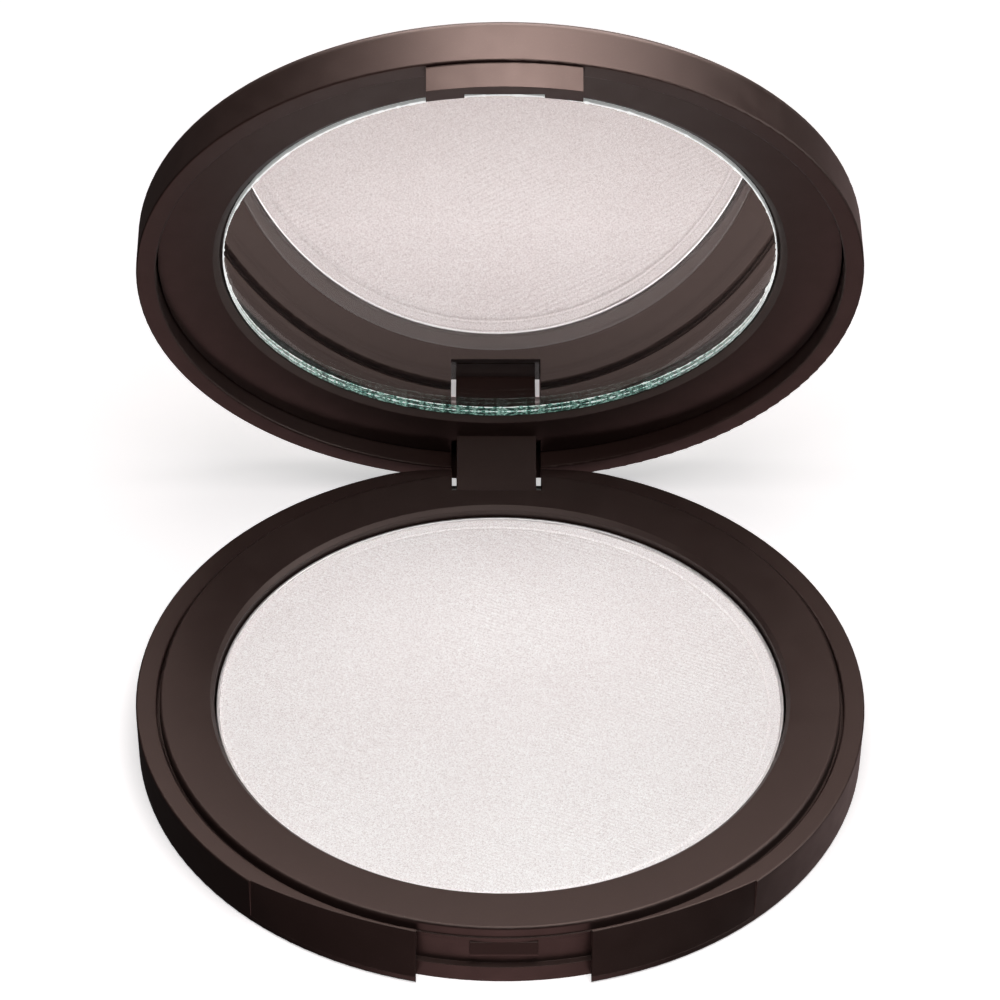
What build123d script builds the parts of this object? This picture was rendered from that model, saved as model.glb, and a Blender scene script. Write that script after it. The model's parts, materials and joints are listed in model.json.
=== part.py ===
from build123d import *

import os
from math import cos, radians, sin

# A round pressed-powder compact, standing open on a table.
# Millimetres and degrees. +Z is up, z = 0 is the table, the latch is at -Y and the hinge at +Y.
# The origin is the centre of the base's flat foot.

# Casing: the base and the lid share one outline and meet at the parting plane
rim_r = 38.0             # outer radius at the parting plane, the widest place
foot_r = 37.67           # outer radius at the table, after draft
base_h = 5.9             # table to parting plane
seam = 0.08              # gap between the rims of the closed compact
edge_break = 0.2         # rounding of moulded edges
same = 0.01              # two sizes this close are one size

# Base casing
base_floor = 1.4
foot_break = 0.35
well_r = 34.2            # inside of the side wall
rebate_r = 35.8          # the tray's flange sits in a rebate at the rim
ledge_z = 5.07           # floor of the rebate
label_r = 25.0
label_t = 0.15
label_recess_r = 25.5
label_recess = 0.3

# Latch recess and finger grips at the front
recess_half = 9.0
recess_r = 35.6
band_r = 36.3            # the casing's foot stands out below the recess wall
band_z = 1.95            # top of that foot band
catch_half = 3.5
catch_top = 4.8
catch_low = 3.25
catch_flat = 0.15        # height of the blunt edge above the catch's underside
catch_out = 0.32         # how far it stands out of the recess wall
catch_root = 0.6         # how far it reaches into the wall
catch_draft = 0.05       # rise of its top and underside towards the root
crease_az = 43.5         # azimuth from the front where a grip facet starts
grip_mid_az = 28.0
grip_end_az = 12.0       # inside the recess, so that the facet runs out into it
grip_top_radii = (37.8, 36.5, 36.3)     # the facet's top edge at the crease, middle and end
grip_low_r = 37.7        # its lower edge keeps the casing's own curve
grip_low_z = 0.9
grip_break = 0.12
clear_r = 40.0           # anything beyond the casing

# Tray: the insert that holds the pan, with the raised ring that is seen round the powder
ring_top = 6.7
ring_outer_r = 35.5
ring_outer_round = 0.3
ring_bevel_r = 30.25
flange_r = 35.65         # the tray's flange, under the ring
flange_top = 5.4
pan_well_r = 29.82
bevel_drop = 0.4
tray_floor = 0.75
tray_skirt_r = 34.05
tray_wall = 1.1
tray_ribs = 12
rib_t = 0.9

# Pan and powder
glue_r = 20.0
glue_t = 0.15
pan_r = 29.6
pan_h = 3.3
pan_t = 0.3
pan_corner = 0.6
powder_drop = 0.22       # powder surface below the pan's rim
border_r = 28.2          # the pressed border stands a little proud outside this radius
border_rise = 0.1

# Hinge: one axis along X, low in the base
hinge_y = 36.21
hinge_drop = 2.75        # parting plane to axis
hinge_z = base_h - hinge_drop
open_angle = 75.58       # the lid stands open by this much
pin_r = 0.75
pin_half = 8.2
pin_seat = 0.01          # radial clearance in the base, where the pin is held
pin_play = 0.05          # radial clearance in the knuckle, which turns on the pin
notch_half = 4.75
notch_y = 32.6           # front wall of the notch that the knuckle turns in
heel_r = 2.65            # the base's back edge is rounded so that the lid's rim rolls past it
heel_y = 35.9
heel_z = base_h - heel_r
heel_half = 19.0         # the rounding runs this far to each side
boss_half = 7.0

# Lid casing, measured from its rim plane
lid_h = 5.6
lid_top_r = 37.7
lid_top_round = 1.3
cavity_r = 35.9
ceiling = 4.4            # rim plane to the underside of the lid's top
pocket_gap = 0.1
tab_pocket_r = 37.72
knuckle_pocket_r = 37.75

# Mirror frame
frame_r = 35.7
frame_face = 1.9         # rim plane to the frame's ring
frame_bevel_r = 30.0
frame_bevel_drop = 0.45
mirror_well_r = 29.3
mirror_well_floor = 3.6
relief = (31.3, 34.6, 3.2)              # inner radius, outer radius and floor of the groove behind the ring
tab_half = 8.06
tab_drop = 3.1
tab_outer_r = 37.62
tab_inner_r = 35.85
tab_root_r = 34.0
tab_notch_half = 4.1
tab_notch_r = 36.25
tab_notch_top = 0.2
knuckle_half = 4.2
knuckle_root = 32.45     # the knuckle's front face leans from here, at the frame
knuckle_front = 34.1     # to here, at its lower end
knuckle_back = 37.45
knuckle_below_axis = 2.25
knuckle_round = 0.8
knuckle_corner = 0.5
slot_y = 33.2

# Mirror
glass_r = 28.95
glass_t = 1.2
glass_face = 2.1         # rim plane to the front of the glass
glass_break = 0.12
silver_r = 28.85
silver_t = 0.05
tape_r = 26.0


def at_front(radius, azimuth, side):
    """A point at an azimuth from the front (-Y), on the +X side for side 1 and on -X for side -1."""
    angle = radians(azimuth)
    return (side * radius * sin(angle), -radius * cos(angle))


def grip_outline(side, radii):
    """Closed line round what a grip facet removes at one height; radii are at crease, middle and end."""
    crease, middle, end = radii
    with BuildLine() as outline:
        ThreePointArc(
            at_front(crease, crease_az, side),
            at_front(middle, grip_mid_az, side),
            at_front(end, grip_end_az, side),
        )
        Line(at_front(end, grip_end_az, side), at_front(clear_r, grip_end_az, side))
        ThreePointArc(
            at_front(clear_r, grip_end_az, side),
            at_front(clear_r, grip_mid_az, side),
            at_front(clear_r, crease_az, side),
        )
        Line(at_front(clear_r, crease_az, side), at_front(crease, crease_az, side))
    return outline.line


def edge_strip(half, inner_r, outer_r, side):
    """In a sketch: the part of a ring between two radii, |x| < half, at the front (-1) or back (1)."""
    with Locations((0, side * outer_r)):
        Rectangle(2 * half, 2 * outer_r)
    Circle(inner_r, mode=Mode.SUBTRACT)
    Circle(outer_r, mode=Mode.INTERSECT)


# The lid's own planes, in the open place. In lid_rim, local z runs from the rim towards the lid's top.
turn = radians(open_angle)
axis_to_rim = base_h + seam - hinge_z
lid_origin = (
    0,
    hinge_y - hinge_y * cos(turn) + axis_to_rim * sin(turn),
    hinge_z + hinge_y * sin(turn) + axis_to_rim * cos(turn),
)
lid_rim = Plane(origin=lid_origin, x_dir=(1, 0, 0), z_dir=(0, sin(turn), cos(turn)))
lid_section = Plane(origin=lid_origin, x_dir=(1, 0, 0), z_dir=-lid_rim.y_dir)
lid_side = Plane(origin=lid_origin, x_dir=lid_rim.y_dir, z_dir=lid_rim.x_dir)
lid_axis = Axis(lid_origin, lid_rim.z_dir)
hinge_in_lid = (hinge_y, -axis_to_rim)
knuckle_low = -axis_to_rim - knuckle_below_axis


# Base casing
with BuildPart() as base_shell:
    with BuildSketch(Plane.XZ):
        with BuildLine():
            Polyline(
                (0, label_recess),
                (label_recess_r, label_recess),
                (label_recess_r, 0),
                (foot_r, 0),
                (rim_r, base_h),
                (rebate_r, base_h),
                (rebate_r, ledge_z),
                (well_r, ledge_z),
                (well_r, base_floor),
                (0, base_floor),
                close=True,
            )
        make_face()
    revolve(axis=Axis.Z)
    foot_edge = base_shell.edges().filter_by(GeomType.CIRCLE).group_by(Axis.Z)[0].sort_by(SortBy.RADIUS)[-1]
    fillet(foot_edge, radius=foot_break)

    # Latch recess: down to the tray's level, with the foot band left below it
    with BuildSketch(Plane.XY.offset(band_z)):
        edge_strip(recess_half, recess_r, clear_r, -1)
    extrude(amount=base_h, mode=Mode.SUBTRACT)
    with BuildSketch():
        edge_strip(recess_half, band_r, clear_r, -1)
    extrude(amount=band_z, mode=Mode.SUBTRACT)

    # Finger grips: ruled facets from a flatter top edge down to the casing's curve
    for side in (-1, 1):
        with BuildSketch(Plane.XY.offset(base_h)):
            add(grip_outline(side, grip_top_radii))
            make_face()
        with BuildSketch(Plane.XY.offset(grip_low_z)):
            add(grip_outline(side, (grip_low_r, grip_low_r, grip_low_r)))
            make_face()
        loft(ruled=True, mode=Mode.SUBTRACT)

    # Hinge notch, rounded back edge and pin seats
    with BuildSketch():
        with Locations((0, (notch_y + clear_r) / 2)):
            Rectangle(2 * notch_half, clear_r - notch_y)
    extrude(amount=base_h, mode=Mode.SUBTRACT)
    with BuildSketch(Plane.YZ):
        with Locations((heel_y + heel_r, heel_z + heel_r)):
            Rectangle(2 * heel_r, 2 * heel_r)
        with Locations((heel_y, heel_z)):
            Circle(heel_r, mode=Mode.SUBTRACT)
    extrude(amount=heel_half, both=True, mode=Mode.SUBTRACT)
    with BuildSketch(Plane.YZ):
        with Locations((hinge_y, hinge_z)):
            Circle(pin_r + pin_seat)
    extrude(amount=heel_half, both=True, mode=Mode.SUBTRACT)

    # Catch: a flat-faced wedge that swells downwards to a sharp lower edge
    with BuildSketch(Plane.YZ):
        with BuildLine():
            Polyline(
                (-recess_r + catch_root, catch_top + catch_draft),
                (-recess_r, catch_top),
                (-recess_r - catch_out, catch_low + catch_flat),
                (-recess_r - catch_out, catch_low),
                (-recess_r + catch_root, catch_low - catch_draft),
                close=True,
            )
        make_face()
    extrude(amount=catch_half, both=True)

    # Broken edges: along the grips' tops and down beside the recess, then round the rim and the rebate
    top_arcs = base_shell.edges().group_by(Axis.Z)[-1].filter_by(GeomType.CIRCLE)
    grip_tops = top_arcs.filter_by(lambda e: e.center().Y < -recess_r * cos(radians(crease_az)))
    recess_sides = base_shell.edges().filter_by(
        lambda e: abs(abs(e.center().X) - recess_half) < same
        and e.center().Y < -recess_r
        and e.center().Z > grip_low_z
    )
    fillet(grip_tops + recess_sides, radius=grip_break)
    top_arcs = base_shell.edges().group_by(Axis.Z)[-1].filter_by(GeomType.CIRCLE)
    rim_arcs = top_arcs.filter_by(lambda e: min(abs(e.radius - rim_r), abs(e.radius - rebate_r)) < same)
    fillet(rim_arcs, radius=edge_break)
base_shell.part.label = "base_shell"


# Tray with the raised ring
with BuildPart() as pan_tray:
    with BuildSketch(Plane.XZ):
        with BuildLine():
            Polyline(
                (0, base_floor),
                (pan_well_r + tray_wall, base_floor),
                (pan_well_r + tray_wall, ring_top - tray_wall),
                (tray_skirt_r - tray_wall, ring_top - tray_wall),
                (tray_skirt_r - tray_wall, base_floor),
                (tray_skirt_r, base_floor),
                (tray_skirt_r, ledge_z),
                (flange_r, ledge_z),
                (flange_r, flange_top),
                (ring_outer_r, flange_top),
                (ring_outer_r, ring_top),
                (ring_bevel_r, ring_top),
                (pan_well_r, ring_top - bevel_drop),
                (pan_well_r, base_floor + tray_floor),
                (0, base_floor + tray_floor),
                close=True,
            )
        make_face()
    revolve(axis=Axis.Z)
    fillet(
        pan_tray.edges().filter_by(GeomType.CIRCLE).group_by(Axis.Z)[-1].sort_by(SortBy.RADIUS)[-1],
        radius=ring_outer_round,
    )
    # Ribs in the groove under the ring
    with BuildSketch(Plane.XY.offset(base_floor)):
        with PolarLocations((pan_well_r + tray_skirt_r) / 2, tray_ribs, start_angle=180 / tray_ribs):
            Rectangle(tray_skirt_r - pan_well_r - tray_wall, rib_t)
    extrude(amount=ring_top - 1.5 * tray_wall - base_floor)
    # Solid boss at the back, then the notch for the knuckle
    with BuildSketch(Plane.XY.offset(base_floor)):
        edge_strip(boss_half, pan_well_r + tray_wall / 2, tray_skirt_r, 1)
    extrude(amount=ledge_z - base_floor)
    with BuildSketch(Plane.XY):
        with Locations((0, (notch_y + clear_r) / 2)):
            Rectangle(2 * notch_half, clear_r - notch_y)
    extrude(amount=ring_top, mode=Mode.SUBTRACT)
pan_tray.part.label = "pan_tray"


# Glue pad, pan and powder
tray_top = base_floor + tray_floor
pan_z = tray_top + glue_t
pan_top = pan_z + pan_h
with BuildPart() as pan_glue:
    with BuildSketch(Plane.XY.offset(tray_top)):
        Circle(glue_r)
    extrude(amount=glue_t)
pan_glue.part.label = "pan_glue"

with BuildPart() as powder_pan:
    with BuildSketch(Plane.XY.offset(pan_z)):
        Circle(pan_r)
    extrude(amount=pan_h)
    fillet(powder_pan.edges().group_by(Axis.Z)[0], radius=pan_corner)
    with BuildSketch(Plane.XY.offset(pan_z + pan_t)):
        Circle(pan_r - pan_t)
    extrude(amount=pan_h, mode=Mode.SUBTRACT)
powder_pan.part.label = "powder_pan"

powder_top = pan_top - powder_drop
with BuildPart() as pressed_powder:
    with BuildSketch(Plane.XZ):
        with BuildLine():
            Polyline(
                (0, pan_z + pan_t),
                (pan_r - pan_t, pan_z + pan_t),
                (pan_r - pan_t, powder_top + border_rise),
                (border_r, powder_top + border_rise),
                (border_r - border_rise, powder_top),
                (0, powder_top),
                close=True,
            )
        make_face()
    revolve(axis=Axis.Z)
pressed_powder.part.label = "pressed_powder"


# Label under the base, and the hinge pin
with BuildPart() as base_label:
    with BuildSketch(Plane.XY.offset(label_recess - label_t)):
        Circle(label_r)
    extrude(amount=label_t)
base_label.part.label = "base_label"

with BuildPart() as hinge_pin:
    with BuildSketch(Plane.YZ):
        with Locations((hinge_y, hinge_z)):
            Circle(pin_r)
    extrude(amount=pin_half, both=True)
    chamfer(hinge_pin.edges().filter_by(GeomType.CIRCLE), length=edge_break)
hinge_pin.part.label = "hinge_pin"


# Lid casing
with BuildPart() as lid_shell:
    with BuildSketch(lid_section):
        with BuildLine():
            Polyline(
                (cavity_r, 0),
                (rim_r, 0),
                (lid_top_r, lid_h),
                (0, lid_h),
                (0, ceiling),
                (cavity_r, ceiling),
                close=True,
            )
        make_face()
    revolve(axis=lid_axis)
    round_edges = lid_shell.edges().filter_by(GeomType.CIRCLE)
    fillet(round_edges.sort_by(lid_axis)[-1], radius=lid_top_round)
    rim_edges = lid_shell.edges().filter_by(GeomType.CIRCLE).sort_by(lid_axis)[:2]
    fillet(rim_edges, radius=edge_break)
    with BuildSketch(lid_rim):
        edge_strip(tab_half + pocket_gap, cavity_r - 1, tab_pocket_r, -1)
    extrude(amount=ceiling, mode=Mode.SUBTRACT)
    with BuildSketch(lid_rim):
        edge_strip(notch_half, cavity_r - 1, knuckle_pocket_r, 1)
    extrude(amount=ceiling, mode=Mode.SUBTRACT)
lid_shell.part.label = "lid_shell"


# Knuckle: the arm from the mirror frame down to the pin, made first and added to the frame
with BuildPart() as knuckle:
    with BuildSketch(lid_side) as knuckle_profile:
        with BuildLine():
            Polyline(
                (knuckle_root, frame_face),
                (knuckle_front, knuckle_low),
                (knuckle_back, knuckle_low),
                (knuckle_back, ceiling),
                (knuckle_root, ceiling),
                close=True,
            )
        make_face()
        fillet(knuckle_profile.vertices().group_by(Axis.Y)[0], radius=knuckle_round)
    extrude(amount=knuckle_half, both=True)
    with BuildSketch(lid_section) as knuckle_front_view:
        with Locations((0, (knuckle_low + ceiling) / 2)):
            Rectangle(2 * knuckle_half, ceiling - knuckle_low)
        fillet(knuckle_front_view.vertices().group_by(Axis.Y)[0], radius=knuckle_corner)
    extrude(amount=2 * rim_r, both=True, mode=Mode.INTERSECT)
    with BuildSketch(lid_side):
        with Locations(hinge_in_lid):
            Circle(pin_r + pin_play)
    extrude(amount=2 * knuckle_half, both=True, mode=Mode.SUBTRACT)


# Mirror frame with the latch tab and the knuckle
with BuildPart() as mirror_frame:
    with BuildSketch(lid_section):
        with BuildLine():
            Polyline(
                (0, mirror_well_floor),
                (mirror_well_r, mirror_well_floor),
                (mirror_well_r, frame_face + frame_bevel_drop),
                (frame_bevel_r, frame_face),
                (frame_r, frame_face),
                (frame_r, ceiling),
                (relief[1], ceiling),
                (relief[1], relief[2]),
                (relief[0], relief[2]),
                (relief[0], ceiling),
                (0, ceiling),
                close=True,
            )
        make_face()
    revolve(axis=lid_axis)
    with BuildSketch(lid_rim.offset(frame_face)):
        edge_strip(tab_half, tab_root_r, tab_outer_r, -1)
    extrude(amount=ceiling - frame_face)
    with BuildSketch(lid_rim.offset(-tab_drop)):
        edge_strip(tab_half, tab_inner_r, tab_outer_r, -1)
    extrude(amount=tab_drop + frame_face)
    with BuildSketch(lid_rim.offset(-tab_drop)):
        with Locations((0, -tab_notch_r / 2)):
            Rectangle(2 * tab_notch_half, tab_notch_r)
    extrude(amount=tab_drop - tab_notch_top, mode=Mode.SUBTRACT)
    # Slots beside the knuckle's root
    with BuildSketch(lid_rim.offset(frame_face)):
        for side in (-1, 1):
            with Locations((side * (knuckle_half + notch_half) / 2, (slot_y + clear_r) / 2)):
                Rectangle(notch_half - knuckle_half, clear_r - slot_y)
    extrude(amount=relief[2] - frame_face, mode=Mode.SUBTRACT)
    add(knuckle.part)
mirror_frame.part.label = "mirror_frame"


# Mirror glass, its silvering and the tape that holds it
with BuildPart() as mirror_glass:
    with BuildSketch(lid_rim.offset(glass_face)):
        Circle(glass_r)
    extrude(amount=glass_t)
    chamfer(mirror_glass.edges().filter_by(GeomType.CIRCLE), length=glass_break)
mirror_glass.part.label = "mirror_glass"

with BuildPart() as mirror_silvering:
    with BuildSketch(lid_rim.offset(glass_face + glass_t)):
        Circle(silver_r - glass_break)
    extrude(amount=silver_t)
mirror_silvering.part.label = "mirror_silvering"

with BuildPart() as mirror_tape:
    with BuildSketch(lid_rim.offset(glass_face + glass_t + silver_t)):
        Circle(tape_r)
    extrude(amount=mirror_well_floor - glass_face - glass_t - silver_t)
mirror_tape.part.label = "mirror_tape"


os.makedirs("parts", exist_ok=True)
for node in (
    base_shell,
    pan_tray,
    pan_glue,
    powder_pan,
    pressed_powder,
    base_label,
    hinge_pin,
    lid_shell,
    mirror_frame,
    mirror_glass,
    mirror_silvering,
    mirror_tape,
):
    export_step(node.part, f"parts/{node.part.label}.step")
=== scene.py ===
import json
from math import cos, pi, radians, sin

import bpy
import numpy as np
from mathutils import Matrix, Vector

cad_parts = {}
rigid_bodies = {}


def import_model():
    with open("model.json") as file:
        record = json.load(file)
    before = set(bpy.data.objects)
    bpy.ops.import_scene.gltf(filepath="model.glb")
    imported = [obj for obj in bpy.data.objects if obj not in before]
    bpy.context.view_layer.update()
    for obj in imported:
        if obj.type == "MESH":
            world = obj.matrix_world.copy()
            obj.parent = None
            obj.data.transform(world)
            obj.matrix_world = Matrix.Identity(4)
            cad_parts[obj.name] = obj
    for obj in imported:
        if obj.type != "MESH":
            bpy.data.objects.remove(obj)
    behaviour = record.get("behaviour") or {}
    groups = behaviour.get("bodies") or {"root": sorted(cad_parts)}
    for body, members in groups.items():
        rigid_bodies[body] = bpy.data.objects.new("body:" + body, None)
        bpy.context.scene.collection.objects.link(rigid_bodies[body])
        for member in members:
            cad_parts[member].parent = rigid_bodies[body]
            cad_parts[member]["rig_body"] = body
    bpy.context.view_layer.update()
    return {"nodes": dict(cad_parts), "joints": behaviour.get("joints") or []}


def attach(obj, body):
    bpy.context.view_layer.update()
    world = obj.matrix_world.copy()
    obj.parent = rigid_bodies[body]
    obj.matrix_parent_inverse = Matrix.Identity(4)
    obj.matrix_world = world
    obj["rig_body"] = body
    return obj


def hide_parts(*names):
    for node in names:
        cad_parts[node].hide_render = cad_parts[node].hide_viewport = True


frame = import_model()

# A round pressed-powder compact, standing open: its looks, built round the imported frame.
# Metres, in the frame's own axes: +Z up, the latch at -Y, the hinge at +Y.
MM = 0.001


# ---- Where things are, read from the frame ----

hinge = frame["joints"][0]
hinge_place = Vector(hinge["pos_m"])
open_angle = radians(-hinge["range_deg"][0])
opening = (
    Matrix.Translation(hinge_place)
    @ Matrix.Rotation(open_angle, 4, Vector(hinge["axis"]))
    @ Matrix.Translation(-hinge_place)
)
closing = opening.inverted()


def node_points(node, place=None):
    """A CAD node's vertices as rows of x, y, z, moved by a matrix if one is given."""
    matrix = place or Matrix.Identity(4)
    return np.array([matrix @ v.co for v in frame["nodes"][node].data.vertices])


def disc_size(points):
    """Outer radius about Z, lowest and highest z of a round node's points."""
    return np.hypot(points[:, 0], points[:, 1]).max(), points[:, 2].min(), points[:, 2].max()


powder_r, powder_bottom, powder_border_top = disc_size(node_points("pressed_powder"))
pan_r, pan_bottom, pan_top = disc_size(node_points("powder_pan"))
glass_r, glass_front, glass_back = disc_size(node_points("mirror_glass", closing))


# ---- Camera ----

VIEW_ELEVATION = radians(41.23)
VIEW_AZIMUTH = radians(-1.12)
VIEW_ROLL = radians(0.74)
CAMERA_DISTANCE = 1.5
LENS = 520.7
AIM = Vector((-0.00014, 0.008, 0.02687))


def add_camera():
    """A long lens, looking down into the open compact from the front."""
    ahead = Vector((0, cos(VIEW_ELEVATION), -sin(VIEW_ELEVATION)))
    ahead.rotate(Matrix.Rotation(VIEW_AZIMUTH, 3, "Z"))
    right = Vector((cos(VIEW_AZIMUTH), sin(VIEW_AZIMUTH), 0))
    turn = Matrix.Rotation(-VIEW_ROLL, 3, ahead)
    right = turn @ right
    up = right.cross(ahead)
    data = bpy.data.cameras.new("camera")
    data.lens = LENS
    data.clip_start = 0.1
    data.clip_end = 50
    camera = bpy.data.objects.new("camera", data)
    axes = Matrix((right, up, -ahead)).transposed()
    camera.matrix_world = Matrix.Translation(AIM - CAMERA_DISTANCE * ahead) @ axes.to_4x4()
    bpy.context.scene.collection.objects.link(camera)
    bpy.context.scene.camera = camera


# ---- Light and floor ----

FLOOR_SIZE = 30.0
FLOOR_GLOW = 0.55
ROOM = (0.035, 0.03, 0.03)
CARDS_BELOW = (                         # warm cards low round the compact: direction, radiance
    ((0.0, -0.67, -0.74), (1.15, 0.72, 0.72)),
    ((0.58, 0.48, -0.66), (0.45, 0.33, 0.32)),
)
CARD_EDGE, CARD_FULL = 0.82, 0.97       # cosines off a card's direction


def add_softbox(
    name, direction, distance, size, radiance, colour=(1, 1, 1), gloss=True, matt=True, only=(), aim=AIM
):
    """An area light that faces the compact, or another point that it is aimed at, and is itself unseen.

    Its radiance is given instead of its power. Without gloss it isn't seen in reflections, and without matt
    it is seen in them alone. only names the bodies or pieces that it reaches, if not all.
    """
    data = bpy.data.lights.new(name, "AREA")
    data.shape = "RECTANGLE"
    data.size, data.size_y = size
    data.energy = radiance * pi * data.size * data.size_y
    data.color = colour
    light = bpy.data.objects.new(name, data)
    towards = Vector(direction).normalized()
    light.location = aim + distance * towards
    light.rotation_euler = towards.to_track_quat("Z", "Y").to_euler()
    light.visible_glossy = gloss
    light.visible_transmission = gloss
    light.visible_diffuse = matt
    light.visible_camera = False
    bpy.context.scene.collection.objects.link(light)
    if only:
        reached = bpy.data.collections.new(name + "_reaches")
        for thing in bpy.context.scene.objects:
            if thing.name in only or thing.get("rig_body") in only:
                reached.objects.link(thing)
        light.light_linking.receiver_collection = reached


def add_lights():
    """Softboxes in front and overhead, cards that fill the powder, and strips for the plastic's sheen."""
    rose = (1, 0.86, 0.82)
    in_front = dict(direction=(0.05, -0.36, 0.93), distance=0.9, size=(0.6, 0.5))
    beside = dict(direction=(0.25, 0.36, 0.90), distance=0.8, size=(1.1, 0.35), colour=rose, matt=False)
    behind = dict(direction=(0.1, 0.85, 0.45), distance=0.9, size=(0.9, 0.4), colour=rose, matt=False)
    add_softbox("front", **in_front, radiance=4.4, colour=(1, 0.935, 0.945), gloss=False)
    # One card stands close to the powder's near side, and one stands for the light off the mirror
    cake = dict(gloss=False, only=["powder_cake"])
    add_softbox("near_card", (0, -0.78, 0.62), 0.1, (0.1, 0.04), 4.4, (0.86, 1, 1), **cake)
    far_side = Vector((0, 0.022, powder_border_top))
    add_softbox("mirror_bounce", (0, -0.3, 0.95), 0.022, (0.05, 0.008), 1.25, aim=far_side, **cake)
    add_softbox("front_gloss", **in_front, radiance=4.8, matt=False, only=["base"])
    add_softbox("overhead", (0.10, -0.02, 1.0), 0.8, (0.5, 0.5), 1.9, (1, 0.95, 0.93))
    add_softbox("base_sheen", **beside, radiance=3.4, only=["base"])
    add_softbox("lid_side_sheen", **beside, radiance=0.8, only=["lid"])
    above_lid = (0.12, 0.25, 0.95)
    add_softbox("lid_sheen", above_lid, 0.82, (0.75, 0.35), 10.5, rose, matt=False, only=["lid"])
    add_softbox("back_sheen", **behind, radiance=8.6, only=["lid_shell"])
    add_softbox("knuckle_sheen", **behind, radiance=1.4, only=["mirror_frame"])
    add_softbox("side_sheen", (0.9, -0.15, 0.42), 0.9, (0.6, 0.6), 2.4, matt=False)
    add_softbox("pan_glint", (0, -0.3, 0.95), 0.8, (1.0, 1.0), 1.2, matt=False, only=["powder_tin"])


def add_room():
    """A dim room, with warm cards below that lighten the plastic's low faces."""
    world = bpy.data.worlds.new("room")
    world.use_nodes = True
    bpy.context.scene.world = world
    tree = world.node_tree
    place = tree.nodes.new("ShaderNodeTexCoord")
    glow = None
    for direction, radiance in CARDS_BELOW:
        near = tree.nodes.new("ShaderNodeVectorMath")
        near.operation = "DOT_PRODUCT"
        near.inputs[1].default_value = Vector(direction).normalized()
        tree.links.new(place.outputs["Generated"], near.inputs[0])
        shade = tree.nodes.new("ShaderNodeMapRange")
        shade.interpolation_type = "SMOOTHSTEP"
        shade.inputs["From Min"].default_value = CARD_EDGE
        shade.inputs["From Max"].default_value = CARD_FULL
        tree.links.new(near.outputs["Value"], shade.inputs["Value"])
        card = tree.nodes.new("ShaderNodeMix")
        card.data_type = "RGBA"
        card.blend_type = "ADD"
        card.inputs[MIX_A].default_value = (*ROOM, 1)
        card.inputs[MIX_B].default_value = (*radiance, 1)
        tree.links.new(shade.outputs[0], card.inputs[MIX_FACTOR])
        if glow:
            tree.links.new(glow, card.inputs[MIX_A])
        glow = card.outputs[MIX_COLOUR]
    tree.links.new(glow, tree.nodes["Background"].inputs["Color"])


def add_floor():
    """A wide pale floor. It is left out of reflections and bounced light, as on a light table."""
    mesh = bpy.data.meshes.new("floor")
    half = FLOOR_SIZE / 2
    corners = [(-half, -half, 0), (half, -half, 0), (half, half, 0), (-half, half, 0)]
    mesh.from_pydata(corners, [], [(0, 1, 2, 3)])
    floor = bpy.data.objects.new("floor", mesh)
    bpy.context.scene.collection.objects.link(floor)
    sockets = {"Roughness": 0.9, "Emission Color": (1, 1, 1, 1), "Emission Strength": FLOOR_GLOW}
    finish = Finish("pale_floor", sockets)
    mottle = finish.grain(60 * MM, detail=4)
    finish.feed("Base Color", finish.colours(mottle, [(0, (0.88, 0.88, 0.88)), (1, (0.93, 0.93, 0.93))]))
    mesh.materials.append(finish.material)
    floor.visible_glossy = False
    floor.visible_diffuse = False


# ---- Materials ----

MIX_FACTOR, MIX_A, MIX_B = 0, 6, 7      # a Mix node's sockets when it mixes colours
MIX_COLOUR = 2
GLASS_IOR = 1.52
GREEN_TO, WHITE_FROM = 0.016, 0.036     # heights between which the cut edge's painted glints and glow turn white
CLEAR_TO, DIM_FROM = 0.045, 0.068       # heights between which the silver is painted dimmer, a painted shade


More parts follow.
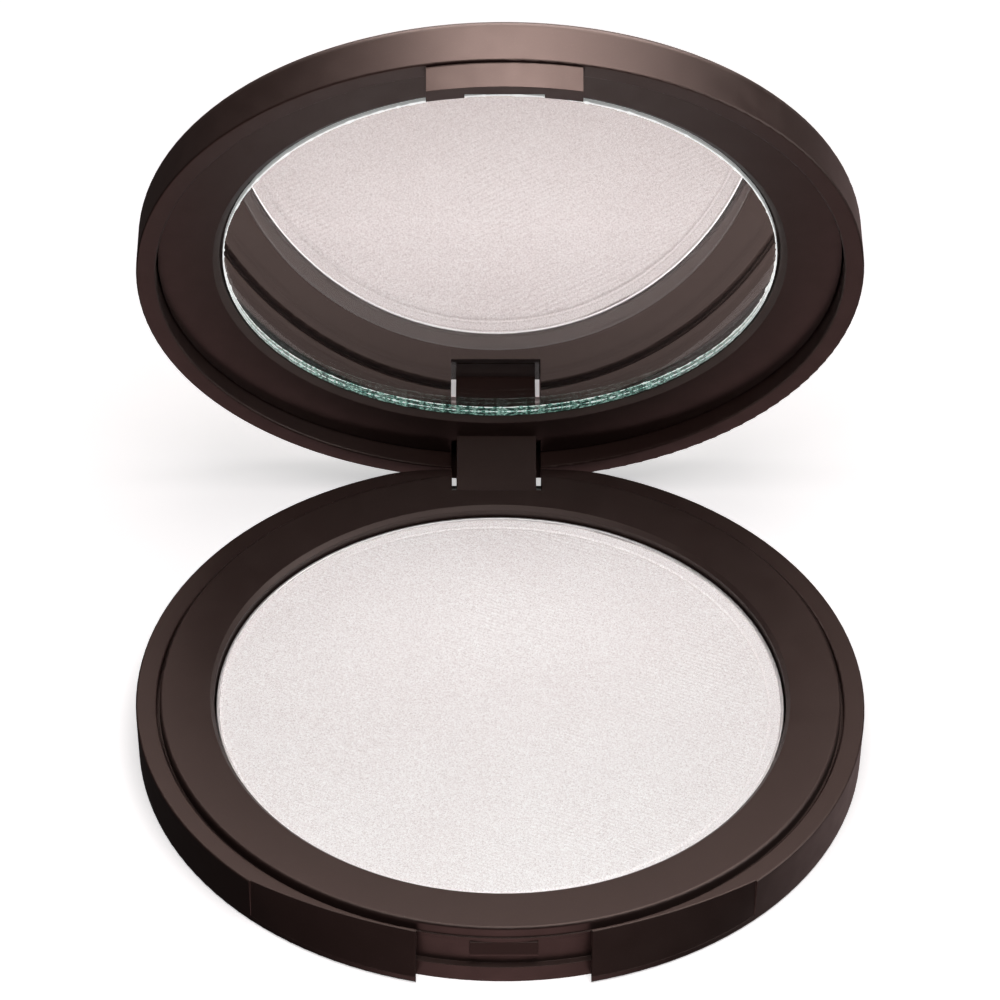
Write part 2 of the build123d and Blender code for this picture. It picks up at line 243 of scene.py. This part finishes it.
class Finish:
    """A Principled material: constants sit on the shader's sockets, and details are noise in metres."""

    def __init__(self, name, sockets):
        self.material = bpy.data.materials.new(name)
        self.material.use_nodes = True
        self.tree = self.material.node_tree
        self.shader = self.tree.nodes["Principled BSDF"]
        for socket, value in sockets.items():
            self.shader.inputs[socket].default_value = value
        self.place = self.node("TexCoord").outputs["Object"]
        self.normal = None

    def node(self, kind, inputs=None, **settings):
        """A node with its settings made and its inputs set or linked."""
        made = self.tree.nodes.new("ShaderNode" + kind)
        for name, value in settings.items():
            setattr(made, name, value)
        for key, value in (inputs or {}).items():
            if isinstance(value, bpy.types.NodeSocket):
                self.tree.links.new(value, made.inputs[key])
            else:
                made.inputs[key].default_value = value
        return made

    def feed(self, socket, value):
        self.tree.links.new(value, self.shader.inputs[socket])

    def stretched(self, scale, turn=0.0):
        """The place, turned about Z and scaled by axis, for streaks."""
        inputs = {"Vector": self.place, "Rotation": (0, 0, turn), "Scale": scale}
        return self.node("Mapping", inputs).outputs[0]

    def grain(self, size, detail=3.0, place=None, roughness=0.5):
        """Noise from 0 to 1 whose features are about one size across."""
        inputs = {"Vector": place or self.place, "Scale": 1 / size}
        inputs |= {"Detail": detail, "Roughness": roughness}
        return self.node("TexNoise", inputs).outputs[0]

    def cells(self, size):
        """Distance to the nearest of many scattered points, one size apart."""
        return self.node("TexVoronoi", {"Vector": self.place, "Scale": 1 / size}).outputs["Distance"]

    def height(self):
        """The height over the table, at rest."""
        return self.node("SeparateXYZ", {0: self.place}).outputs["Z"]

    def between(self, value, low, high, start=0.0, end=1.0):
        """The value's stretch from start to end, spread over low to high."""
        inputs = {0: value, 1: start, 2: end, 3: low, 4: high}
        return self.node("MapRange", inputs).outputs[0]

    def colours(self, value, stops):
        """A colour ramp through (position, colour) stops."""
        ramp = self.node("ValToRGB", {0: value})
        elements = ramp.color_ramp.elements
        while len(elements) < len(stops):
            elements.new(1.0)
        for element, (position, colour) in zip(elements, stops):
            element.position = position
            element.color = (*colour, 1)
        return ramp.outputs[0]

    def mix(self, factor, first, second):
        """Two colours mixed by a factor."""
        inputs = {MIX_FACTOR: factor, MIX_A: first, MIX_B: second}
        return self.node("Mix", inputs, data_type="RGBA").outputs[MIX_COLOUR]

    def sum(self, first, second, operation="ADD"):
        return self.node("Math", {0: first, 1: second}, operation=operation).outputs[0]

    def round_edges(self, radius):
        """Softens the shading of sharp edges, and returns a mask that is 1 on them and 0 on the flats."""
        rounded = self.node("Bevel", {"Radius": radius}, samples=4)
        self.normal = rounded.outputs[0]
        true = self.node("NewGeometry").outputs["Normal"]
        lean = self.node("VectorMath", {0: rounded.outputs[0], 1: true}, operation="DOT_PRODUCT")
        return self.between(lean.outputs["Value"], 1, 0, 0.8, 0.995)

    def relief(self, height, depth):
        """A bump that deep, over any relief already there."""
        inputs = {"Height": height, "Distance": depth, "Strength": 1.0}
        if self.normal:
            inputs["Normal"] = self.normal
        self.normal = self.node("Bump", inputs).outputs[0]
        self.feed("Normal", self.normal)


def plastic(name, colour, worn, roughness):
    """Dark satin moulding: fine spark-eroded grain, faint cloudiness, and edges rubbed a little smoother."""
    sockets = {"Specular IOR Level": 0.75, "Specular Tint": (1.0, 0.82, 0.76, 1), "IOR": 1.5}
    finish = Finish(name, sockets)
    edge = finish.round_edges(0.09 * MM)
    rubbed = finish.sum(edge, finish.between(finish.grain(0.8 * MM), 0.2, 1.0, 0.35, 0.65), "MULTIPLY")
    cloud = finish.grain(9 * MM, detail=4)
    dim = tuple(0.86 * c for c in colour)
    body = finish.colours(cloud, [(0.3, dim), (0.7, colour)])
    speck = finish.between(finish.grain(0.16 * MM, detail=1), 0, 0.35, 0.62, 0.75)
    body = finish.mix(speck, body, (*worn, 1))
    finish.feed("Base Color", finish.mix(rubbed, body, (*worn, 1)))
    matt = finish.between(finish.grain(2.5 * MM, detail=5), roughness - 0.03, roughness + 0.04, 0.3, 0.7)
    finish.feed("Roughness", finish.sum(matt, finish.sum(rubbed, 0.08, "MULTIPLY"), "SUBTRACT"))
    finish.relief(finish.grain(0.11 * MM, detail=2), 0.0025 * MM)
    finish.relief(finish.grain(6 * MM, detail=1), 0.006 * MM)
    return finish.material


def powder_material():
    """Pressed powder: matt, faintly pink, with paler and darker grains and a fine crumb."""
    sockets = {"Roughness": 0.92, "Specular IOR Level": 0.25, "Sheen Weight": 0.12, "Sheen Roughness": 0.6}
    finish = Finish("powder", sockets)
    cloud = finish.grain(11 * MM, detail=3)
    body = finish.colours(cloud, [(0.3, (0.86, 0.79, 0.782)), (0.7, (0.885, 0.828, 0.82))])
    fleck = finish.grain(0.15 * MM, detail=2, roughness=0.8)
    body = finish.mix(finish.between(fleck, 0, 1.0, 0.52, 0.68), body, (1.0, 0.985, 0.975, 1))
    body = finish.mix(finish.between(fleck, 0.85, 0, 0.32, 0.48), body, (0.60, 0.52, 0.51, 1))
    dot = finish.cells(1.4 * MM)
    body = finish.mix(finish.between(dot, 0.35, 0, 0.04, 0.075), body, (0.55, 0.5, 0.49, 1))
    finish.feed("Base Color", body)
    finish.relief(finish.grain(0.16 * MM, detail=3, roughness=0.7), 0.06 * MM)
    return finish.material


def aluminium():
    """The pan's drawn sheet: bright, with fine rolling lines and a sheared, sparkling lip."""
    finish = Finish("pan_metal", {"Metallic": 1.0, "IOR": 1.5})
    lines = finish.grain(1.0, detail=4, place=finish.stretched((700, 14000, 14000)))
    finish.feed("Base Color", finish.colours(lines, [(0.3, (0.90, 0.90, 0.90)), (0.7, (0.98, 0.975, 0.97))]))
    finish.feed("Roughness", finish.between(finish.grain(0.3 * MM, detail=4), 0.38, 0.52, 0.3, 0.7))
    finish.relief(finish.grain(0.2 * MM, detail=2), 0.006 * MM)
    return finish.material


def clear_glass():
    """The mirror's sheet glass, with a trace of smear on its face."""
    sockets = {"Transmission Weight": 1.0, "IOR": GLASS_IOR, "Base Color": (0.995, 0.998, 0.995, 1)}
    finish = Finish("glass", sockets)
    smear = finish.grain(7 * MM, detail=6, place=finish.stretched((1, 2.4, 1), 0.5))
    finish.feed("Roughness", finish.between(smear, 0.0, 0.012, 0.5, 0.8))
    finish.relief(finish.grain(18 * MM, detail=0), 0.0015 * MM)
    return finish.material


def ground_glass(name, shades, glow):
    """A cut glass edge: chips in four shades from dark to bright near the hinge, and white further up,
    painted glints.

    It glows a little, a painted glow standing in for light that enters the sheet's face and leaves by its
    edge.
    """
    sockets = {"Roughness": 0.35, "Specular IOR Level": 0.8, "IOR": GLASS_IOR, "Emission Strength": glow}
    finish = Finish(name, sockets)
    chips = finish.grain(0.5 * MM, detail=5, roughness=0.8)
    broken = finish.colours(chips, list(zip((0.40, 0.47, 0.51, 0.56), shades)))
    painted_white = finish.colours(chips, [(0.3, (0.80, 0.84, 0.83)), (0.6, (0.97, 1, 0.99))])
    # painted glints: the edge is painted white higher up, and its bright chips are painted highlights
    glints = finish.mix(finish.between(finish.height(), 0, 1, GREEN_TO, WHITE_FROM), broken, painted_white)
    finish.feed("Base Color", glints)
    # painted glow: the glint colours are also emitted, though the edge is no lamp
    finish.feed("Emission Color", glints)
    finish.relief(finish.grain(0.2 * MM, detail=4, roughness=0.8), 0.05 * MM)
    return finish.material


def mirror_coat():
    """The silver on the back of the glass: faintly uneven, and a little dimmer towards the latch, a painted
    shade on its reflection.
    """
    finish = Finish("mirror_coat", {"Metallic": 1.0})
    film = finish.grain(5 * MM, detail=4)
    silver = finish.colours(film, [(0.3, (0.955, 0.915, 0.915)), (0.7, (0.97, 0.93, 0.93))])
    # painted shade: the silver darkens with height, standing in for the reflection dimming towards the top
    dim = finish.between(finish.height(), 0, 1, CLEAR_TO, DIM_FROM)
    finish.feed("Base Color", finish.mix(dim, silver, (0.76, 0.715, 0.713, 1)))
    finish.feed("Roughness", finish.between(finish.grain(3 * MM, detail=6), 0.0, 0.01, 0.5, 0.9))
    return finish.material


def steel():
    """A drawn steel pin: fine lines along its length."""
    finish = Finish("steel", {"Metallic": 1.0})
    lines = finish.grain(1.0, detail=3, place=finish.stretched((200, 16000, 16000)))
    finish.feed("Base Color", finish.colours(lines, [(0.3, (0.42, 0.41, 0.4)), (0.7, (0.62, 0.61, 0.6))]))
    finish.feed("Roughness", finish.between(lines, 0.22, 0.4))
    finish.relief(lines, 0.003 * MM)
    return finish.material


def film_label():
    """The plain label under the base: matt film with a faint paper tooth."""
    finish = Finish("label_film", {"Specular IOR Level": 0.4})
    fibre = finish.grain(0.5 * MM, detail=6, roughness=0.65)
    finish.feed("Base Color", finish.colours(fibre, [(0.3, (0.58, 0.53, 0.49)), (0.7, (0.66, 0.61, 0.57))]))
    finish.feed("Roughness", finish.between(finish.grain(2 * MM, detail=4), 0.5, 0.65))
    finish.relief(fibre, 0.008 * MM)
    return finish.material


def back_paint():
    """The grey paint over the silvering."""
    finish = Finish("back_paint", {"Specular IOR Level": 0.4})
    brushed = finish.grain(0.9 * MM, detail=5)
    finish.feed("Base Color", finish.colours(brushed, [(0.3, (0.16, 0.17, 0.18)), (0.7, (0.22, 0.23, 0.24))]))
    finish.feed("Roughness", finish.between(brushed, 0.4, 0.6))
    finish.relief(brushed, 0.01 * MM)
    return finish.material


def foam(name, light, dark, pore):
    """Foam tape or set glue: a soft body with open pores."""
    finish = Finish(name, {"Roughness": 0.85, "Specular IOR Level": 0.3})
    cells = finish.cells(pore)
    finish.feed("Base Color", finish.colours(cells, [(0.1, dark), (0.5, light)]))
    finish.relief(cells, 0.3 * pore)
    return finish.material


# ---- Meshes ----


def soft_noise(x, y, cell, seed):
    """Smooth random relief from -1 to 1 with features one cell across, the same on every run."""
    side = 512
    grid = np.random.default_rng(seed).uniform(-1, 1, (side, side))
    column, row = np.floor(x / cell).astype(int), np.floor(y / cell).astype(int)
    across, along = x / cell - column, y / cell - row
    across, along = across**2 * (3 - 2 * across), along**2 * (3 - 2 * along)
    left, right = column % side, (column + 1) % side
    near, far = row % side, (row + 1) % side
    low = grid[left, near] * (1 - across) + grid[right, near] * across
    high = grid[left, far] * (1 - across) + grid[right, far] * across
    return low * (1 - along) + high * along


def smooth_step(value):
    """0 below 0, 1 above 1, and an easy curve between."""
    clipped = np.clip(value, 0, 1)
    return clipped**2 * (3 - 2 * clipped)


def add_mesh(name, points, faces, materials, places=None):
    """A smooth-shaded mesh object. places gives each face's material, if it has several."""
    mesh = bpy.data.meshes.new(name)
    mesh.from_pydata([tuple(p) for p in points], [], faces)
    for material in materials:
        mesh.materials.append(material)
    if places is not None:
        mesh.polygons.foreach_set("material_index", places)
    mesh.polygons.foreach_set("use_smooth", [True] * len(mesh.polygons))
    mesh.update()
    piece = bpy.data.objects.new(name, mesh)
    bpy.context.scene.collection.objects.link(piece)
    return piece


def lathe(name, rings, steps, materials, places):
    """A closed turned solid.

    rings are (radii, heights) round the turn, from the middle of the low face, up the outside, to the middle
    of the high one. places gives each band's material, the two middles included.
    """
    angles = np.arange(steps) * 2 * pi / steps
    points, faces, bands = [], [], []
    for radii, heights in rings:
        radii, heights = np.broadcast_to(radii, steps), np.broadcast_to(heights, steps)
        points.extend(zip(radii * np.cos(angles), radii * np.sin(angles), heights))
    after = [(i + 1) % steps for i in range(steps)]
    for ring in range(len(rings) - 1):
        start, end = ring * steps, (ring + 1) * steps
        faces.extend((start + i, start + k, end + k, end + i) for i, k in enumerate(after))
        bands.extend([places[ring + 1]] * steps)
    last = (len(rings) - 1) * steps
    faces.append(tuple(range(steps - 1, -1, -1)))
    bands.append(places[0])
    faces.append(tuple(range(last, last + steps)))
    bands.append(places[-1])
    return add_mesh(name, points, faces, materials, bands)


def split_sharp(piece, angle):
    """Keeps edges sharper than an angle crisp under smooth shading."""
    bpy.context.view_layer.objects.active = piece
    piece.select_set(True)
    bpy.ops.object.shade_smooth_by_angle(angle=angle, keep_sharp_edges=True)
    piece.select_set(False)


# ---- Powder ----

PRESS_TURN = radians(-25)               # the press cloth's lines run this way across the cake
PRESS_PITCH = 0.5 * MM
PRESS_DEPTH = 0.035 * MM
BORDER_R = 28.5 * MM                    # the press's plain border starts here
BORDER_SHIFT = (-0.3 * MM, -0.3 * MM)   # the press stood a little off the pan's centre
BORDER_RISE = 0.1 * MM
BORDER_SLOPE = 1.1 * MM                 # how far out the border takes to rise
GROOVE_DEPTH, GROOVE_IN = 0.17 * MM, 0.12 * MM
RIDGE_HEIGHT, RIDGE_OUT = 0.08 * MM, 0.07 * MM
CLEAREST_AT = radians(12)               # groove and ridge are deepest this far to the front of +X
EDGE_CHIP = 0.05 * MM                   # the cake stands this far inside the pan's wall
EDGE_DROP = 0.05 * MM                   # and its crumbled rim is this much lower
EDGE_WIDTH = 0.16 * MM
CAKE_MARGIN = 0.03 * MM                 # keeps the relief under the cake's highest point
CAKE_ROWS = 480
CAKE_COLUMNS = 180


def powder_relief(x, y):
    """Height of the cake's top over its flat field: cloth lines, crumb, and the border's groove and rise."""
    along = x * cos(PRESS_TURN) + y * sin(PRESS_TURN)
    across = -x * sin(PRESS_TURN) + y * cos(PRESS_TURN)
    wander = 0.5 * PRESS_PITCH * soft_noise(along, across, 6 * MM, 1)
    outwards = np.hypot(x, y) / BORDER_R - 0.6
    patch = smooth_step(0.5 + 0.6 * soft_noise(along, across, 7 * MM, 2) + 0.5 * outwards)
    broken = 0.6 + 0.4 * soft_noise(along, across * 3, 1.2 * MM, 3)
    lines = PRESS_DEPTH * patch * broken * np.sin(2 * pi * (across + wander) / PRESS_PITCH)
    crumb = 0.005 * MM * soft_noise(x, y, 0.16 * MM, 4) + 0.006 * MM * soft_noise(x, y, 0.42 * MM, 5)
    sway = 0.012 * MM * soft_noise(x, y, 9 * MM, 6)

    inside = BORDER_R - np.hypot(x - BORDER_SHIFT[0], y - BORDER_SHIFT[1])
    ragged = inside + 0.07 * MM * soft_noise(x, y, 0.3 * MM, 7)
    clear = 0.3 + 0.7 * smooth_step(0.5 + 0.7 * np.cos(np.arctan2(y, x) + CLEAREST_AT))
    groove = -GROOVE_DEPTH * clear * np.exp(-((ragged - GROOVE_IN) / GROOVE_IN) ** 2)
    ridge = RIDGE_HEIGHT * clear * np.exp(-((inside + RIDGE_OUT) / RIDGE_OUT) ** 2)
    rise = BORDER_RISE * smooth_step(-inside / BORDER_SLOPE)
    field = smooth_step(inside / (0.25 * MM))
    return lines * field + crumb * (0.35 + 0.65 * field) + sway + groove + ridge + rise


def add_powder():
    """The pressed cake: points in rows along the cloth's lines, a crumbled rim, a side and a flat bottom."""
    top = powder_border_top - BORDER_RISE - CAKE_MARGIN
    rows = np.linspace(-1, 1, CAKE_ROWS + 2)[1:-1]
    turns = np.linspace(-pi / 2, pi / 2, CAKE_COLUMNS)
    across, sweep = np.meshgrid(rows, turns, indexing="ij")
    along = np.sin(sweep) * np.sqrt(1 - across**2)
    x = along * cos(PRESS_TURN) - across * sin(PRESS_TURN)
    y = along * sin(PRESS_TURN) + across * cos(PRESS_TURN)
    angle = np.arctan2(y, x)
    chipped = EDGE_CHIP + 0.03 * MM * soft_noise(angle * powder_r, angle * 0, 0.5 * MM, 8)
    radius = powder_r - chipped
    x, y = x * radius, y * radius
    z = top + powder_relief(x, y)
    near_edge = smooth_step(1 - (radius - np.hypot(x, y)) / EDGE_WIDTH)
    z -= near_edge * (EDGE_DROP + 0.02 * MM * soft_noise(x, y, 0.35 * MM, 9))
    count = CAKE_ROWS * CAKE_COLUMNS
    index = np.arange(count).reshape(CAKE_ROWS, CAKE_COLUMNS)
    quads = np.stack([index[:-1, :-1], index[:-1, 1:], index[1:, 1:], index[1:, :-1]], -1)
    rim = np.concatenate([index[0, :], index[1:, -1], index[-1, -2::-1], index[-2:0:-1, 0]])
    top_points = np.stack([x.ravel(), y.ravel(), z.ravel()], 1)
    low_points = top_points[rim].copy()
    low_points[:, 2] = powder_bottom
    low = count + np.arange(len(rim))
    walls = np.stack([rim, low, np.roll(low, -1), np.roll(rim, -1)], 1)
    faces = [tuple(face) for face in np.vstack([quads.reshape(-1, 4), walls]).tolist()]
    faces.append(tuple(range(count + len(rim) - 1, count - 1, -1)))
    cake = add_mesh("powder_cake", np.vstack([top_points, low_points]), faces, [powder_material()])
    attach(cake, "base")
    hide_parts("pressed_powder")


# ---- Pan ----

PAN_WALL = 0.3 * MM
PAN_LIP = 0.1 * MM                      # rounding of the lip's two edges
PAN_CORNER = 0.6 * MM                   # rounding of the outside low corner
PAN_INNER_CORNER = 0.4 * MM
PAN_STRAIGHT = 0.6 * MM                 # the wall's top stretch, below the lip
PAN_BURR = 0.006 * MM
PAN_STEPS = 1080


def add_pan():
    """The drawn pan: a rounded lower corner and a sheared lip with small burrs."""
    turn = np.arange(PAN_STEPS) * 2 * pi / PAN_STEPS
    burr = PAN_BURR * soft_noise(turn * pan_r, turn * 0, 0.3 * MM, 11)
    burr += PAN_BURR * soft_noise(turn * pan_r, turn * 0, 1.3 * MM, 12)
    inner_r = pan_r - PAN_WALL
    inner_floor = pan_bottom + PAN_WALL
    lip_z = pan_top - PAN_LIP - 0.02 * MM
    rings = [(0.4 * pan_r, pan_bottom)]
    for step in range(4, -1, -1):
        lean = step * pi / 8
        out = pan_r - PAN_CORNER * (1 - cos(lean))
        rings.append((out, pan_bottom + PAN_CORNER * (1 - sin(lean))))
    rings += [(pan_r, pan_bottom + PAN_CORNER + 0.1 * MM), (pan_r, pan_top - PAN_STRAIGHT)]
    for step in range(4):
        lean = step * pi / 6
        out = pan_r - PAN_LIP * (1 - cos(lean)) + burr / 3 - 0.01 * MM
        rings.append((out, lip_z + PAN_LIP * sin(lean) + burr))
    for step in range(3, -1, -1):
        lean = step * pi / 6
        rings.append((inner_r + PAN_LIP * (1 - cos(lean)) + burr / 2, lip_z + PAN_LIP * sin(lean) + burr))
    rings += [(inner_r, pan_top - PAN_STRAIGHT), (inner_r, inner_floor + PAN_INNER_CORNER)]
    rings += [(inner_r - PAN_INNER_CORNER, inner_floor), (0.4 * inner_r, inner_floor)]
    pan = lathe("powder_tin", rings, PAN_STEPS, [aluminium()], [0] * (len(rings) + 1))
    split_sharp(pan, radians(50))
    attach(pan, "base")
    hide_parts("powder_pan")


# ---- Mirror ----

MIRROR_STEPS = 1080
COAT_GAP = 0.02 * MM                    # between the coat and the silvering behind it
WEDGE = 0.6 * MM                        # the plate thins by this much from the hinge to the latch
EDGE_BACK = 0.015 * MM                  # the ground edge stands this far inside the CAD disc


def add_mirror():
    """The mirror: sheet glass with ground, chipped edges, silvered on the back face of the same solid."""
    turn = np.arange(MIRROR_STEPS) * 2 * pi / MIRROR_STEPS
    around = turn * glass_r
    chips = np.clip(soft_noise(around, around * 0, 0.6 * MM, 21), 0, 1) ** 2
    fine = soft_noise(around, around * 0, 0.2 * MM, 22)
    back_chips = np.clip(soft_noise(around, around * 0, 0.9 * MM, 23), 0, 1) ** 2
    front_cut = 0.10 * MM + 0.14 * MM * chips + 0.02 * MM * fine
    back_cut = 0.08 * MM + 0.10 * MM * back_chips - 0.02 * MM * fine
    edge = glass_r - EDGE_BACK + 0.012 * MM * fine
    back = glass_back - COAT_GAP

    def back_face(radius):
        """Height of the sloping back over the closed lid's frame, at this radius round the turn."""
        return back - WEDGE * (glass_r - radius * np.sin(turn)) / (2 * glass_r)

    rings = [
        (0.5 * glass_r, glass_front),
        (glass_r - front_cut, glass_front),
        (edge, glass_front + 0.8 * front_cut),
        (edge, back_face(edge) - 0.8 * back_cut),
        (glass_r - back_cut, back_face(glass_r - back_cut)),
        (0.5 * glass_r, back_face(0.5 * glass_r)),
    ]
    face = clear_glass()
    # the bright shades are painted glints, and both cuts emit them as a painted glow
    cut_shades = (0.02, 0.06, 0.05), (0.12, 0.42, 0.34), (0.85, 0.96, 0.93), (0.97, 1, 0.99)
    wall_shades = (0.004, 0.008, 0.007), (0.006, 0.02, 0.016), (0.03, 0.28, 0.2), (0.6, 0.9, 0.8)
    cut = ground_glass("ground_cut", cut_shades, glow=0.9)
    wall = ground_glass("ground_wall", wall_shades, glow=0.3)
    materials = [face, cut, wall, mirror_coat()]
    places = [0, 0, 1, 2, 1, 3, 3]      # front middle and ring, cut, wall, cut, back ring and middle
    mirror = lathe("mirror_plate", rings, MIRROR_STEPS, materials, places)
    mirror.data.transform(opening)
    split_sharp(mirror, radians(20))
    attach(mirror, "lid")
    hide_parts("mirror_glass")


# ---- The CAD nodes that stay ----


def dress_nodes():
    """Gives each CAD node that stays its material."""
    casing = plastic("satin_casing", (0.027, 0.0142, 0.0120), (0.060, 0.036, 0.030), 0.45)
    insert = plastic("satin_insert", (0.026, 0.0140, 0.0120), (0.058, 0.036, 0.030), 0.45)
    dressed = {
        "base_shell": casing,
        "lid_shell": casing,
        "pan_tray": insert,
        "mirror_frame": insert,
        "hinge_pin": steel(),
        "base_label": film_label(),
        "pan_glue": foam("set_glue", (0.75, 0.66, 0.42), (0.6, 0.5, 0.28), 0.7 * MM),
        "mirror_silvering": back_paint(),
        "mirror_tape": foam("foam_tape", (0.8, 0.8, 0.78), (0.6, 0.6, 0.58), 0.35 * MM),
    }
    for node, material in dressed.items():
        frame["nodes"][node].material_slots[0].material = material


add_camera()
add_floor()
dress_nodes()
add_powder()
add_pan()
add_mirror()
add_lights()
add_room()

scene = bpy.context.scene
scene.view_settings.view_transform = "Standard"
